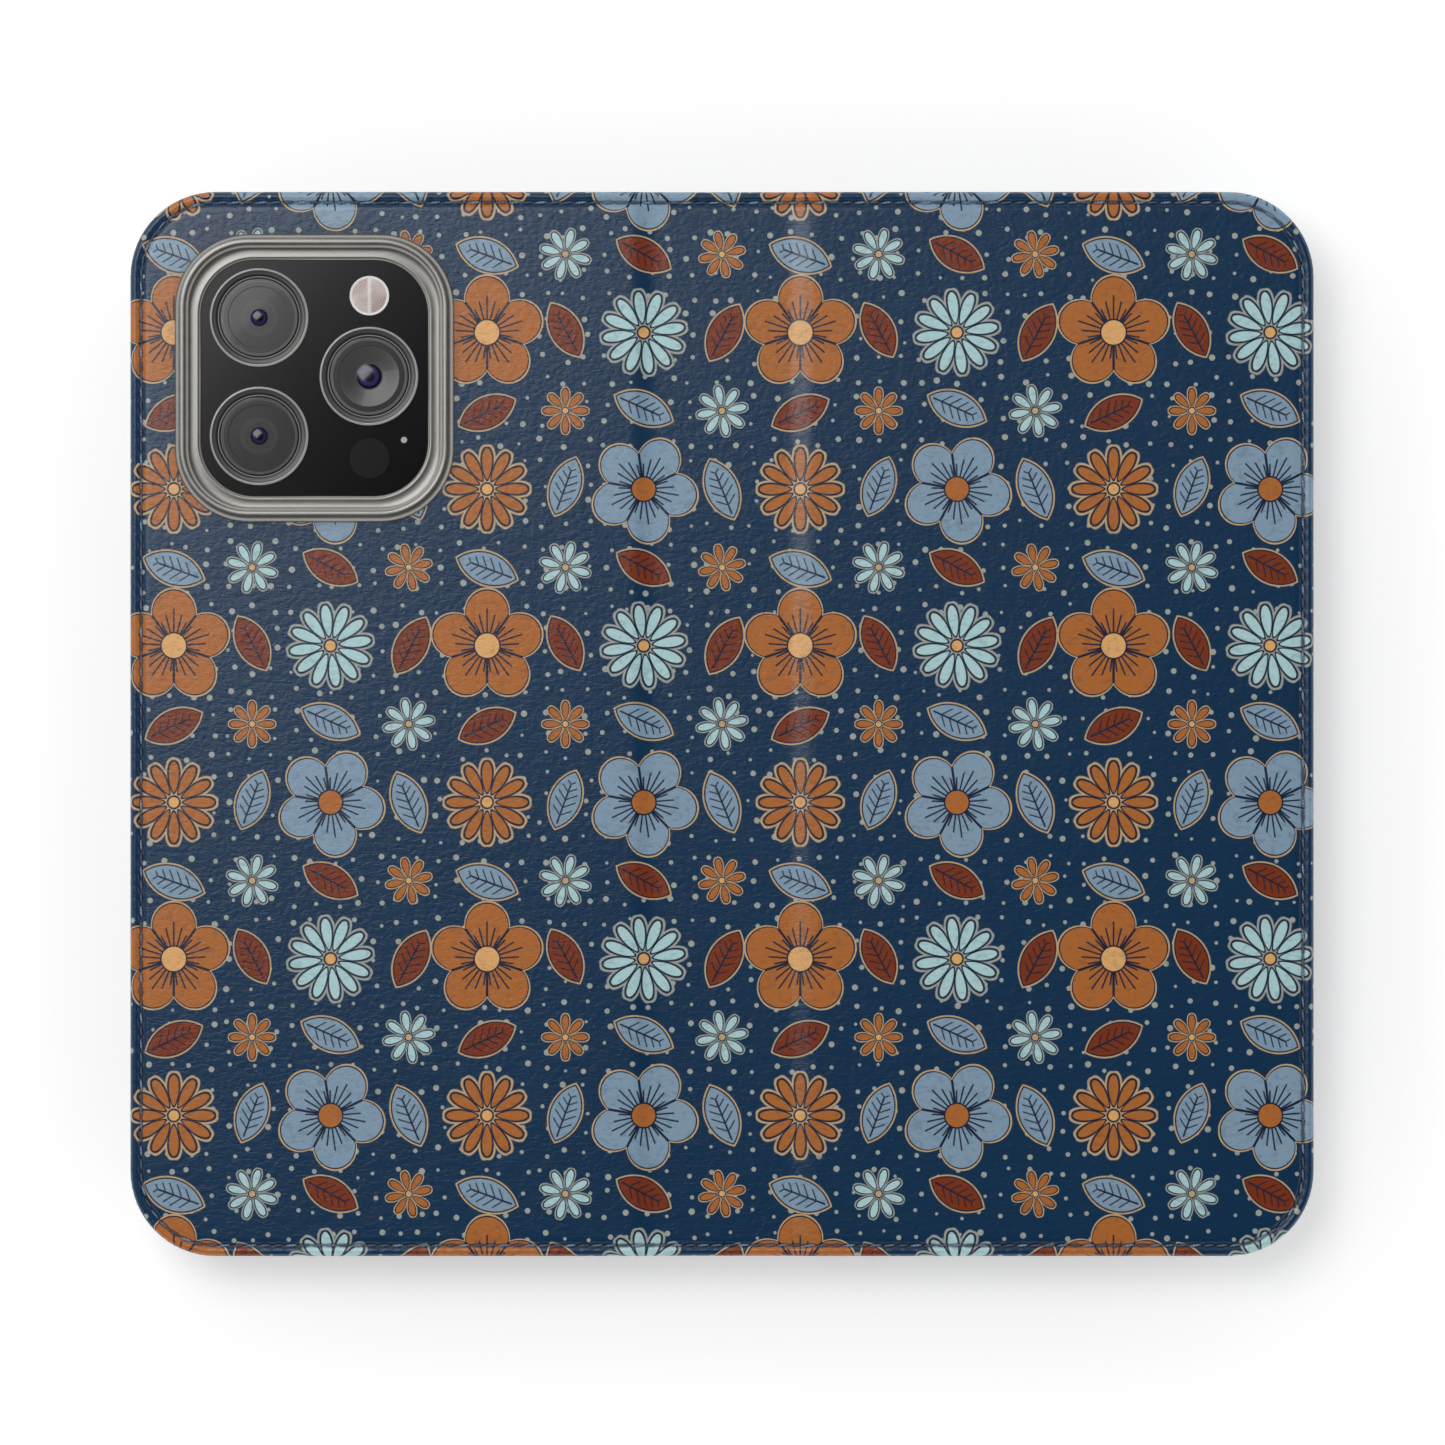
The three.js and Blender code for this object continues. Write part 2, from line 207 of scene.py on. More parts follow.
class Graph:
    """The nodes of a material or of the world."""

    def __init__(self, name, world=None):
        self.material = world or bpy.data.materials.new(name)
        self.material.use_nodes = True
        self.tree = self.material.node_tree
        self.tree.nodes.clear()

    def node(self, kind, settings=None, inputs=None, output=0):
        made = self.tree.nodes.new(kind)
        for key, value in (settings or {}).items():
            setattr(made, key, value)
        for key, value in (inputs or {}).items():
            if isinstance(value, Value):
                self.tree.links.new(value.socket, made.inputs[key])
            else:
                made.inputs[key].default_value = value
        return Value(self, made.outputs[output]) if made.outputs else None

    def math(self, operation, *values, clamp=False):
        settings = {"operation": operation, "use_clamp": clamp}
        return self.node("ShaderNodeMath", settings, dict(enumerate(values)))

    def vector(self, operation, *values, output=0):
        inputs = dict(enumerate(values))
        if operation == "SCALE":
            inputs = {0: values[0], 3: values[1]}
        settings = {"operation": operation}
        return self.node("ShaderNodeVectorMath", settings, inputs, output)

    def length(self, vector):
        return self.vector("LENGTH", vector, output=1)

    def parts(self, vector):
        made = self.node("ShaderNodeSeparateXYZ", inputs={0: vector})
        node = made.socket.node
        return [Value(self, node.outputs[i]) for i in range(3)]

    def choose(self, factor, a, b, kind="RGBA"):
        """a where factor is 0, b where it is 1."""
        first, output = {"RGBA": (6, 2), "VECTOR": (4, 1)}[kind]
        inputs = {0: factor, first: opaque(a, kind), first + 1: opaque(b, kind)}
        return self.node("ShaderNodeMix", {"data_type": kind}, inputs, output)

    def noise(self, vector, scale, detail=2.0, roughness=0.5, output=0):
        inputs = {"Vector": vector, "Scale": scale, "Detail": detail, "Roughness": roughness}
        return self.node("ShaderNodeTexNoise", None, inputs, output)

    def stretch(self, vector, x, y, z):
        return self.vector("MULTIPLY", vector, (x, y, z))

    def attribute(self, name):
        settings = {"attribute_name": name, "attribute_type": "GEOMETRY"}
        return self.node("ShaderNodeAttribute", settings, output=1)

    def position(self):
        return self.node("ShaderNodeTexCoord", output=3)

    def bump(self, height):
        """Height in millimetres."""
        inputs = {"Height": height, "Strength": 1.0, "Distance": MM}
        return self.node("ShaderNodeBump", inputs=inputs)

    def finish(self, colour, roughness, normal=None, **more):
        inputs = {"Base Color": opaque(colour, "RGBA"), "Roughness": roughness}
        if normal is not None:
            inputs["Normal"] = normal
        inputs.update({key.replace("_", " "): value for key, value in more.items()})
        shader = self.node("ShaderNodeBsdfPrincipled", inputs=inputs)
        self.node("ShaderNodeOutputMaterial", inputs={"Surface": shader})
        return self.material


def opaque(value, kind):
    """A colour of three numbers with its alpha."""
    if kind == "RGBA" and not isinstance(value, Value):
        return (*value[:3], 1.0)
    return value


# ---------------------------------------------------------------- the print

SOFT_EDGE = 0.07  # mm over which a printed edge fades
HALF_TURN = math.pi
FULL_TURN = 2 * math.pi


class Print:
    """A floral print on a plane in millimetres, laid motif by motif over a ground colour."""

    def __init__(self, graph, place, ground):
        self.g = graph
        self.place = place
        self.colour = ground
        self.repeat = mm(sizes().print_repeat)
        self.paints = colours()

    def tile(self, x, y):
        """Coordinates in the repeat square whose middle is at x, y."""
        g, half = self.g, self.repeat / 2
        moved = g.vector("SUBTRACT", self.place, (x, y, 0.0))
        wrapped = g.vector("WRAP", moved, (half, half, 0.0), (-half, -half, 0.0))
        return g.vector("ADD", wrapped, (x, y, 0.0))

    def mask(self, distance, width=SOFT_EDGE):
        return self.g.math("MULTIPLY_ADD", distance, -1.0 / width, 0.5, clamp=True)

    def lay(self, paint, distance, width=SOFT_EDGE):
        self.colour = self.g.choose(self.mask(distance, width), self.colour, paint)

    def line(self, distance, width=SOFT_EDGE):
        self.lay(self.paints.ink, distance, width)

    def around(self, vector, count, turn=0.0):
        """(radius, place between -0.5 and 0.5 within one of count equal sectors)."""
        x, y, _ = self.g.parts(vector)
        sector = y.math("ARCTAN2", x) * (count / FULL_TURN) - turn * count / FULL_TURN
        return self.g.length(vector), sector.folded()

    def hypot(self, a, b):
        return (a * a + b * b).math("SQRT")

    def pin_dots(self, cell, jitter):
        """One small dot in each cell, shifted a little and of its own size."""
        g = self.g
        scaled = g.vector("SCALE", self.place, 1.0 / cell)
        corner = g.vector("FLOOR", scaled)
        part = g.vector("SUBTRACT", g.vector("FRACTION", scaled), (0.5, 0.5, 0.0))
        random = g.node(
            "ShaderNodeTexWhiteNoise", {"noise_dimensions": "2D"}, {"Vector": corner}, 1
        )
        shift = g.vector("MULTIPLY_ADD", random, (-jitter, -jitter, 0), (jitter / 2,) * 2 + (0,))
        local = g.vector("ADD", g.vector("SCALE", part, cell), shift)
        radius = g.length(g.stretch(local, 1.0, 1.0, 0.0))
        self.lay(self.paints.dust, radius - (g.parts(random)[2] * 0.26 + 0.24), 0.1)

    def flower(self, place, x, y, reach, turn, petal, heart):
        """Five round petals with short veins round a plain heart."""
        g = self.g
        local = g.vector("SUBTRACT", place, (x, y, 0.0))
        radius, sector = self.around(local, 5, math.radians(turn))
        across = abs(sector)
        step = FULL_TURN / 5
        rim = radius - (reach - across * across * (reach * 1.4))
        self.lay(self.paints.cream, rim - 0.5)
        self.line(rim - 0.22)
        gap = (across - 0.5) * radius * step + 0.2
        self.lay(petal, rim.math("MAXIMUM", gap))
        fine = abs((sector * 5.0).folded()) * radius * (step / 5.0) - 0.13
        end = radius - (0.68 - across * 0.5) * reach
        self.line(fine.math("MAXIMUM", end), 0.1)
        self.line(radius - (reach * 0.22 + 0.25))
        self.lay(heart, radius - reach * 0.22)

    def nearest(self, place, members):
        """The coordinates of place in the nearest member's own frame: x, y, size, turn."""
        g, best, least = self.g, None, None
        for x, y, size, turn in members:
            local = g.node(
                "ShaderNodeMapping", {"vector_type": "TEXTURE"},
                {
                    "Vector": place, "Location": (x, y, 0.0),
                    "Rotation": (0.0, 0.0, math.radians(turn)), "Scale": (size, size, 1.0),
                },
            )
            reach = g.length(local)
            if best is None:
                best, least = local, reach
                continue
            closer = reach.math("LESS_THAN", least)
            best = g.choose(closer, best, local, "VECTOR")
            least = least.math("MINIMUM", reach)
        return best

    def daisies(self, place, members, petals, fat, petal, outline, heart):
        """Round-tipped petals, each an oval that widens outwards."""
        local = self.nearest(place, members)
        radius, sector = self.around(local, petals)
        side = sector * (radius * 0.55 + 0.36) * (FULL_TURN / petals)
        along = radius - 0.61
        long = 0.37
        near = self.hypot(side * (1 / fat), along * (1 / long))
        steep = self.hypot(side * (1 / fat**2), along * (1 / long**2))
        rim = near * (near - 1.0) / steep.math("MAXIMUM", 0.01)
        self.lay(outline, rim - 0.095, 0.02)
        self.line(rim - 0.05, 0.02)
        self.lay(petal, rim, 0.02)
        self.line(radius - 0.17, 0.02)
        self.lay(heart, radius - 0.125, 0.02)

    def leaves(self, place, members, paint):
        """Pointed oval leaves with a rib and slanting veins."""
        local = self.nearest(place, members)
        x, y, _ = self.g.parts(local)
        wide = abs(y)
        inset = 0.38
        rim = self.hypot(x, wide + inset) - math.hypot(0.5, inset)
        self.lay(self.paints.cream, rim - 0.05, 0.012)
        self.line(rim - 0.024, 0.012)
        self.lay(paint, rim, 0.012)
        rib = (wide - 0.016).math("MAXIMUM", abs(x + 0.08) - 0.36)
        slant = abs(((x - wide * 0.8) * 7.0).folded()) * 0.11 - 0.011
        branch = slant.math("MAXIMUM", rim + 0.06)
        self.line(rib.math("MINIMUM", branch), 0.012)


def floral(graph, place, ground):
    """Flowers, daisies and leaves on a plain square lattice, with pin dots between them."""
    paints = colours()
    p = Print(graph, place, ground)
    half, quarter = p.repeat / 2, p.repeat / 4
    p.pin_dots(p.repeat / 15, 1.7)
    between = p.tile(quarter / 2, quarter / 2)
    p.leaves(
        between,
        [
            (0.4, quarter, 9.4, 62), (half, quarter + 0.4, 9.0, 118), (quarter, -0.3, 9.2, 25),
            (-quarter, half, 9.0, -28),
        ],
        paints.rust,
    )
    p.leaves(
        between,
        [
            (0.0, -quarter, 9.6, 112), (half, 0.4 - quarter, 9.2, 70), (-quarter, 0.4, 9.4, -24),
            (quarter, half - 0.2, 9.6, 160),
        ],
        paints.blue,
    )
    corners = p.tile(quarter, quarter)
    p.daisies(
        corners, [(0.0, 0.0, 4.0, 10), (half, half, 4.0, 30)], 8, 0.15, paints.pale, paints.dust,
        paints.cream,
    )
    p.daisies(
        corners, [(half, 0.0, 3.6, 0), (0.0, half, 3.6, 12)], 8, 0.15, paints.orange,
        paints.cream, paints.peach,
    )
    middle = p.tile(0.0, 0.0)
    p.daisies(
        middle, [(-quarter, quarter, 6.6, 8)], 12, 0.13, paints.pale, paints.dust, paints.peach,
    )
    p.daisies(
        middle, [(quarter, -quarter, 6.6, 0)], 12, 0.13, paints.orange, paints.cream,
        paints.peach,
    )
    p.flower(middle, quarter, quarter, 8.8, 18, paints.orange, paints.peach)
    p.flower(middle, -quarter, -quarter, 8.4, -10, paints.blue, paints.orange)
    return p.colour


# ---------------------------------------------------------------- finishes


def smooth_ramp(graph, value, low, high, a=0.0, b=1.0):
    """Runs smoothly from a at low to b at high."""
    inputs = {0: value, 1: low, 2: high, 3: a, 4: b}
    return graph.node("ShaderNodeMapRange", {"interpolation_type": "SMOOTHSTEP"}, inputs)


def wave(value, pitch):
    """Rises and falls between 0 and 1, once for each pitch."""
    return (value * (FULL_TURN / pitch)).math("SINE") * 0.5 + 0.5


def band(graph, value, middle, width):
    """1 at the middle, fading to 0 at width on both sides."""
    return smooth_ramp(graph, abs(value - middle), 0.0, width, 1.0, 0.0)


def pebbles(graph, place, size=0.9):
    """Height of a fine leather grain over a plane in millimetres."""
    bent = graph.vector(
        "MULTIPLY_ADD", graph.noise(place, 0.45, 3.0, output=1), (1.3, 1.3, 0.0), place,
    )
    cells = graph.node(
        "ShaderNodeTexVoronoi", {"feature": "SMOOTH_F1"},
        {"Vector": bent, "Scale": 1.0 / size, "Smoothness": 0.5},
    )
    slanted = graph.node(
        "ShaderNodeMapping", {"vector_type": "POINT"},
        {"Vector": bent, "Rotation": (0.0, 0.0, 0.75), "Scale": (0.22, 0.75, 1.0)},
    )
    creases = abs(graph.noise(slanted, 1.0, 3.0, 0.6) - 0.5)
    return 1.0 - cells * 1.1 + smooth_ramp(graph, creases, 0.0, 0.07) * 0.45


def printed_leather():
    """Leather with the floral print, soft sheen, painted shade in the creases at the folds and in
    the seam's groove, and a stitched edge.
    """
    g = Graph("Printed Leather")
    paints = colours()
    sheet = g.attribute("sheet")
    x, y, depth = g.parts(sheet)
    place = g.stretch(sheet, 1.0, 1.0, 0.0)
    cloudy = g.noise(place, 0.035, 3.0)
    ground = g.choose(cloudy, [c * 0.92 for c in paints.navy], [c * 1.08 for c in paints.navy])
    colour = floral(g, place, ground)
    grain = pebbles(g, place)
    # the colour is darker in the grain's hollows and lighter on its tops
    grain_top = smooth_ramp(g, grain, 0.1, 0.75)
    colour = g.choose(grain_top * -0.22 + 0.22, colour, paints.ink)
    # painted shade: the creases at the folds and the seam's groove are painted darker, towards the
    # ink
    fold = band(g, abs(x), 12.9, 1.6)
    seam = band(g, depth, mm(sizes().seam_inset), 0.45)
    dark = (fold * 0.10).math("MAXIMUM", seam * 0.72)
    colour = g.choose(dark, colour, paints.ink)
    edge = smooth_ramp(g, depth, 0.0, 0.5, 0.28, 0.0)
    colour = g.choose(edge, colour, paints.navy)
    rough = 0.31 - grain_top * 0.03 + g.noise(place, 0.25, 2.0) * 0.04
    pucker = (y + x).math("MULTIPLY", FULL_TURN / mm(sizes().stitch_pitch)).math("SINE")
    height = grain * 0.022 + pucker * band(g, depth, 1.3, 0.9) * 0.02
    normal = g.bump(height)
    return g.finish(colour, rough, normal, Specular_IOR_Level=0.5)


def lining_cloth():
    """Fine twill glued inside the covers."""
    g = Graph("Lining Cloth")
    sheet = g.attribute("sheet")
    x, y, _ = g.parts(sheet)
    twill = wave(x + y, 0.7)
    threads = wave(x - y, 0.45)
    weave = twill * 0.7 + threads * 0.3
    mottled = g.noise(g.stretch(sheet, 1.0, 1.0, 0.0), 0.12, 4.0)
    tone = weave * 0.5 + mottled * 0.5
    colour = g.choose(tone, (0.010, 0.020, 0.038), (0.034, 0.060, 0.100))
    return g.finish(colour, 0.9 - weave * 0.12, g.bump(weave * 0.06))


def millimetres(graph):
    """Object coordinates in millimetres."""
    inputs = {"Vector": graph.position(), "Scale": (1 / MM,) * 3}
    return graph.node("ShaderNodeMapping", {"vector_type": "POINT"}, inputs)


def pocket_leather():
    """Plain dyed leather with the same grain, darker in the grain's hollows."""
    g = Graph("Pocket Leather")
    place = g.stretch(millimetres(g), 1.0, 1.0, 0.0)
    grain = pebbles(g, place, 0.8)
    cloudy = g.noise(place, 0.06, 4.0)
    colour = g.choose(cloudy, (0.010, 0.030, 0.064), (0.020, 0.052, 0.104))
    colour = g.choose(smooth_ramp(g, grain, 0.0, 0.7, 0.35, 0.0), colour, (0.004, 0.010, 0.024))
    rough = 0.52 - grain * 0.07
    return g.finish(colour, rough, g.bump(grain * 0.05))


def seam_thread():
    """Twisted thread with a painted highlight: now and then a stitch is painted paler, as if the
    light caught it.
    """
    g = Graph("Seam Thread")
    stitch = g.attribute("stitch")
    along, about, painted_glint = g.parts(stitch)
    twist = wave(along * 1.6 + about, 1.0)
    # painted highlight: the thread is painted paler where painted_glint is high
    pale = g.choose(painted_glint, (0.020, 0.040, 0.075), (0.20, 0.29, 0.42))
    colour = g.choose(twist * 0.45, pale, (0.008, 0.014, 0.030))
    return g.finish(colour, 0.62 - twist * 0.1, g.bump(twist * 0.04))


def satin_metal():
    """Bead-blasted metal with faint smears and dark specks."""
    g = Graph("Satin Metal")
    place = millimetres(g)
    specks = g.noise(place, 9.0, 3.0, 0.6)
    smears = g.noise(g.stretch(place, 0.12, 0.5, 0.3), 1.0, 4.0)
    metal = colours().metal
    colour = g.choose(smears, [c * 0.86 for c in metal], [c * 1.12 for c in metal])
    colour = g.choose(specks * 0.18, colour, [c * 0.6 for c in metal])
    rough = 0.25 + smears * 0.1 + specks * 0.04
    return g.finish(colour, rough, g.bump(specks * 0.006), Metallic=0.85)


def dark_glass(name, light, rough):
    """Dark coated glass with a faint brushed backing."""
    g = Graph(name)
    place = millimetres(g)
    haze = g.noise(place, 0.05, 3.0)
    brushed = g.noise(g.stretch(place, 6.0, 0.15, 1.0), 1.0, 3.0)
    colour = g.choose(haze * 0.6 + brushed * 0.4, [light * 0.5] * 3, [light] * 3)
    normal = g.bump(brushed * 0.0006)
    return g.finish(colour, rough + haze * 0.04, normal, Specular_IOR_Level=0.25)


def guard_glass():
    """The guard plate, near black in the depth."""
    return dark_glass("Guard Glass", 0.004, 0.13)


def sensor_glass():
    """The sensor's window, a little lighter than the plate round it."""
    return dark_glass("Sensor Glass", 0.016, 0.13)


def by_reach(graph, stops):
    """Colour that changes with distance from a lens's own axis: stops of (millimetres, colour)."""
    reach = graph.attribute("reach")
    out, _, _ = graph.parts(reach)
    colour = stops[0][1]
    for start, paint in stops[1:]:
        colour = graph.choose(smooth_ramp(graph, out, start - 0.05, start + 0.05), colour, paint)
    return out, colour


def lens_metal():
    """Dark anodised ring with a bright turned rim."""
    g = Graph("Lens Metal")
    out, colour = by_reach(
        g,
        [
            (0.0, (0.016, 0.016, 0.017)), (6.42, (0.17, 0.168, 0.165)),
            (6.60, (0.012, 0.012, 0.012)), (6.80, (0.050, 0.049, 0.047)),
            (7.05, (0.085, 0.083, 0.078)), (7.52, (0.34, 0.335, 0.33)),
        ],
    )
    turned = wave(out, 0.11)
    rough = 0.3 + turned * 0.08
    return g.finish(colour, rough, g.bump(turned * 0.002), Metallic=0.5)


def lens_glass():
    """Wide lens behind coated glass: a dark disc with a blue and violet bloom in the middle that
    is partly the coating's own tint and partly a painted reflection of its glints.
    """
    g = Graph("Lens Glass")
    _, colour = by_reach(
        g,
        [
            # the violet ring from 0.7 mm is partly coating tint and partly a painted reflection
            (0.0, (0.004, 0.004, 0.010)), (0.7, (0.030, 0.024, 0.090)),
            (1.15, (0.006, 0.006, 0.014)), (1.55, (0.016, 0.016, 0.017)),
            (2.3, (0.024, 0.024, 0.025)), (3.0, (0.0075, 0.0075, 0.008)),
            (5.72, (0.085, 0.085, 0.086)),
        ],
    )
    cloud = g.noise(millimetres(g), 0.5, 2.0)
    colour = g.choose(cloud * 0.3, colour, (0.002, 0.002, 0.004))
    return g.finish(colour, 0.15 + cloud * 0.05, Coat_Weight=0.2)


def long_lens_glass():
    """Long lens: a conical turned baffle with a painted sheen round a violet front element, the
    violet partly the coating's tint and partly a painted reflection.
    """
    g = Graph("Long Lens Glass")
    reach = g.attribute("reach")
    _, dx, dy = g.parts(reach)
    out, colour = by_reach(
        g,
        [
            # the violet front element is partly coating tint and partly a painted reflection
            (0.0, (0.003, 0.003, 0.009)), (0.9, (0.030, 0.024, 0.095)),
            (1.6, (0.004, 0.004, 0.012)), (2.0, (0.050, 0.049, 0.047)),
            (4.85, (0.003, 0.003, 0.003)), (5.72, (0.10, 0.10, 0.10)),
        ],
    )
    # painted sheen and shade: the cone is painted darker in lobes by bearing, standing in for
    # light on turned metal
    bearing = dy.math("ARCTAN2", dx)
    painted_sheen = ((bearing * 2.0 + 0.6).math("SINE") * 0.5 + 0.5) * band(g, out, 3.4, 2.2)
    colour = g.choose(painted_sheen * 0.75, colour, (0.010, 0.010, 0.010))
    return g.finish(colour, 0.2 + painted_sheen * 0.05, Coat_Weight=0.2)


def flash_diffuser():
    """Ribbed diffuser over a warm lamp."""
    g = Graph("Flash Diffuser")
    reach = g.attribute("reach")
    out, dx, dy = g.parts(reach)
    ribs = wave(out, 0.42)
    facets = smooth_ramp(g, dx * dy, -1.6, 1.6)
    colour = g.choose(facets, (0.36, 0.245, 0.21), (0.55, 0.46, 0.43))
    colour = g.choose(ribs * 0.3, colour, (0.72, 0.68, 0.66))
    colour = g.choose(band(g, dx, 0.0, 0.5) * 0.7, colour, (0.85, 0.82, 0.80))
    colour = g.choose(smooth_ramp(g, out, 2.7, 2.85), colour, (0.82, 0.82, 0.82))
    return g.finish(colour, 0.3 + ribs * 0.1, g.bump(ribs * 0.03), Coat_Weight=0.5)


def tray_plastic():
    """Moulded plastic with a fine spark-eroded texture and a little scuffing."""
    g = Graph("Tray Plastic")
    place = millimetres(g)
    fine = g.noise(place, 3.2, 4.0, 0.65)
    scuff = g.noise(g.stretch(place, 0.25, 0.05, 0.25), 1.0, 5.0, 0.7)
    colour = g.choose(scuff, (0.010, 0.011, 0.012), (0.022, 0.023, 0.025))
    rough = 0.46 + fine * 0.12 - smooth_ramp(g, scuff, 0.55, 0.75) * 0.1
    return g.finish(colour, rough, g.bump(fine * 0.03))


def grey_board():
    """Pressed paper board with short fibres."""
    g = Graph("Grey Board")
    place = millimetres(g)
    fibres = g.noise(g.stretch(place, 1.0, 4.0, 1.0), 1.2, 5.0, 0.7)
    colour = g.choose(fibres, (0.20, 0.19, 0.175), (0.34, 0.32, 0.30))
    return g.finish(colour, 0.9 - fibres * 0.08, g.bump(fibres * 0.05))


def adhesive_film():
    """Milky double-sided adhesive with trapped air."""
    g = Graph("Adhesive Film")
    place = millimetres(g)
    air = smooth_ramp(g, g.noise(place, 0.5, 3.0), 0.52, 0.6)
    colour = g.choose(air, (0.56, 0.55, 0.50), (0.74, 0.73, 0.68))
    return g.finish(colour, 0.3 + air * 0.2, g.bump(air * 0.01))


def magnet_steel():
    """Nickel-plated disc with fine turning marks."""
    g = Graph("Magnet Steel")
    place = millimetres(g)
    haze = g.noise(place, 0.8, 4.0)
    marks = g.noise(g.stretch(place, 8.0, 0.4, 1.0), 1.0, 2.0)
    colour = g.choose(haze, (0.46, 0.46, 0.45), (0.62, 0.62, 0.60))
    return g.finish(colour, 0.22 + marks * 0.12, g.bump(marks * 0.004), Metallic=1.0)


# ---------------------------------------------------------------- shapes


class Shape:
    """A rounded rectangle in millimetres, seen from above."""

    def __init__(self, x, y, width, height, corner):
        self.x, self.y, self.width, self.height, self.corner = x, y, width, height, corner

    @classmethod
    def of(cls, node, corner):
        low, high = box_mm(node)
        middle = (low + high) / 2
        return cls(middle.x, middle.y, high.x - low.x, high.y - low.y, corner)

    def grown(self, by):
        wide, tall = self.width + 2 * by, self.height + 2 * by
        return Shape(self.x, self.y, wide, tall, max(self.corner + by, 0.1))

    def depth(self, x, y):
        """How far in from the edge a point lies, and the way out."""
        across = abs(x - self.x) - (self.width / 2 - self.corner)
        along = abs(y - self.y) - (self.height / 2 - self.corner)
        out = Vector((max(across, 0.0), max(along, 0.0)))
        reach = out.length + min(max(across, along), 0.0)
        if out.length < 1e-9:
            out = Vector((1.0, 0.0)) if across > along else Vector((0.0, 1.0))
        out.normalize()
        sides = (math.copysign(1, x - self.x), math.copysign(1, y - self.y))
        return self.corner - reach, Vector((out.x * sides[0], out.y * sides[1]))

    def walk(self, pitch, inset):
        """Points and directions at equal steps along the outline, inset from the edge."""
        corner = self.corner - inset
        a, b = self.width / 2 - inset - corner, self.height / 2 - inset - corner
        quarter = corner * HALF_TURN / 2
        runs = [2 * a, quarter, 2 * b, quarter] * 2
        total = sum(runs)
        count = round(total / pitch)
        starts = [(-a, b), (a, b), (a, b), (a, -b), (a, -b), (-a, -b), (-a, -b), (-a, b)]
        for step in range(count):
            far = (step + 0.5) * total / count
            side = 0
            while far > runs[side]:
                far -= runs[side]
                side += 1
            straight = side % 2 == 0
            bearing = -HALF_TURN / 2 * (side // 2) - (0.0 if straight else far / corner)
            ahead = Vector((math.cos(bearing), math.sin(bearing)))
            out = Vector((-ahead.y, ahead.x))
            point = Vector(starts[side]) + ahead * (far if straight else 0.0) + out * corner
            yield point + Vector((self.x, self.y)), ahead


def loft(shape, rings, segments=12, closed=False):
    """A solid whose surface runs through rings of (inset from the edge, height[, corner])."""
    bm = bmesh.new()
    spoke = bm.verts.layers.float_vector.new("spoke")
    bmesh.ops.create_grid(bm, x_segments=1, y_segments=1, size=0.5)
    bmesh.ops.scale(bm, vec=(shape.width, shape.height, 1.0), verts=bm.verts)
    bmesh.ops.bevel(
        bm, geom=bm.verts[:], offset=shape.corner, offset_type="OFFSET", segments=segments,
        profile=0.5, affect="VERTICES", material=-1,
    )
    for vert in bm.verts:
        a, b = shape.width / 2 - shape.corner, shape.height / 2 - shape.corner
        middle = Vector((math.copysign(a, vert.co.x), math.copysign(b, vert.co.y), 0.0))
        vert[spoke] = (vert.co - middle).normalized()
    bmesh.ops.translate(bm, vec=(shape.x, shape.y, 0.0), verts=bm.verts)
    bmesh.ops.delete(bm, geom=bm.faces[:], context="FACES_ONLY")
    first = edges = bm.edges[:]
    verts = bm.verts[:]
    for number, (inset, height, *corner) in enumerate(rings):
        if number:
            made = bmesh.ops.extrude_edge_only(bm, edges=edges)["geom"]
            verts = [part for part in made if isinstance(part, bmesh.types.BMVert)]
            edges = [
                part
                for part in made
                if isinstance(part, bmesh.types.BMEdge) and part.is_boundary
            ]
        radius = corner[0] if corner else max(shape.corner - inset, 0.05)
        a = shape.width / 2 - inset - radius
        b = shape.height / 2 - inset - radius
        for vert in verts:
            out = vert[spoke] * radius
            vert.co = (
                shape.x + math.copysign(a, vert.co.x - shape.x) + out.x,
                shape.y + math.copysign(b, vert.co.y - shape.y) + out.y,
                height,
            )
    if closed:
        bmesh.ops.bridge_loops(bm, edges=first + edges)
    else:
        bmesh.ops.contextual_create(bm, geom=first)
        bmesh.ops.contextual_create(bm, geom=edges)
    bmesh.ops.recalc_face_normals(bm, faces=bm.faces)
    return bm


def turned(middle, profile, steps=64):
    """A closed solid from a profile of (radius, height) points, spun about an upright axis."""
    bm = bmesh.new()
    verts = [bmesh.ops.create_vert(bm, co=(r, 0.0, z))["vert"][0] for r, z in profile]
    edges = [bm.edges.new(pair) for pair in zip(verts, verts[1:])]
    if profile[0][0] > 0:
        edges.append(bm.edges.new((verts[-1], verts[0])))
    bmesh.ops.spin(
        bm, geom=verts + edges, cent=(0, 0, 0), axis=(0, 0, 1), angle=FULL_TURN, steps=steps,
        use_merge=True,
    )
    bmesh.ops.remove_doubles(bm, verts=bm.verts, dist=1e-4)
    bmesh.ops.recalc_face_normals(bm, faces=bm.faces)
    bmesh.ops.translate(bm, vec=(middle[0], middle[1], 0.0), verts=bm.verts)
    return bm


def placed(name, data):
    made = bpy.data.objects.new(name, data)
    bpy.context.scene.collection.objects.link(made)
    return made


def mesh_from(name, bm, scale=MM):
    bmesh.ops.scale(bm, vec=(scale,) * 3, verts=bm.verts)
    mesh = bpy.data.meshes.new(name)
    bm.to_mesh(mesh)
    bm.free()
    return mesh


def piece(name, bm, material, angle=35.0):
    """A finished object from a bmesh in millimetres."""
    mesh = mesh_from(name, bm)
    mesh.polygons.foreach_set("use_smooth", [True] * len(mesh.polygons))
    mesh.set_sharp_from_angle(angle=math.radians(angle))
    mesh.materials.append(material)
    made = placed(name, mesh)
    return made


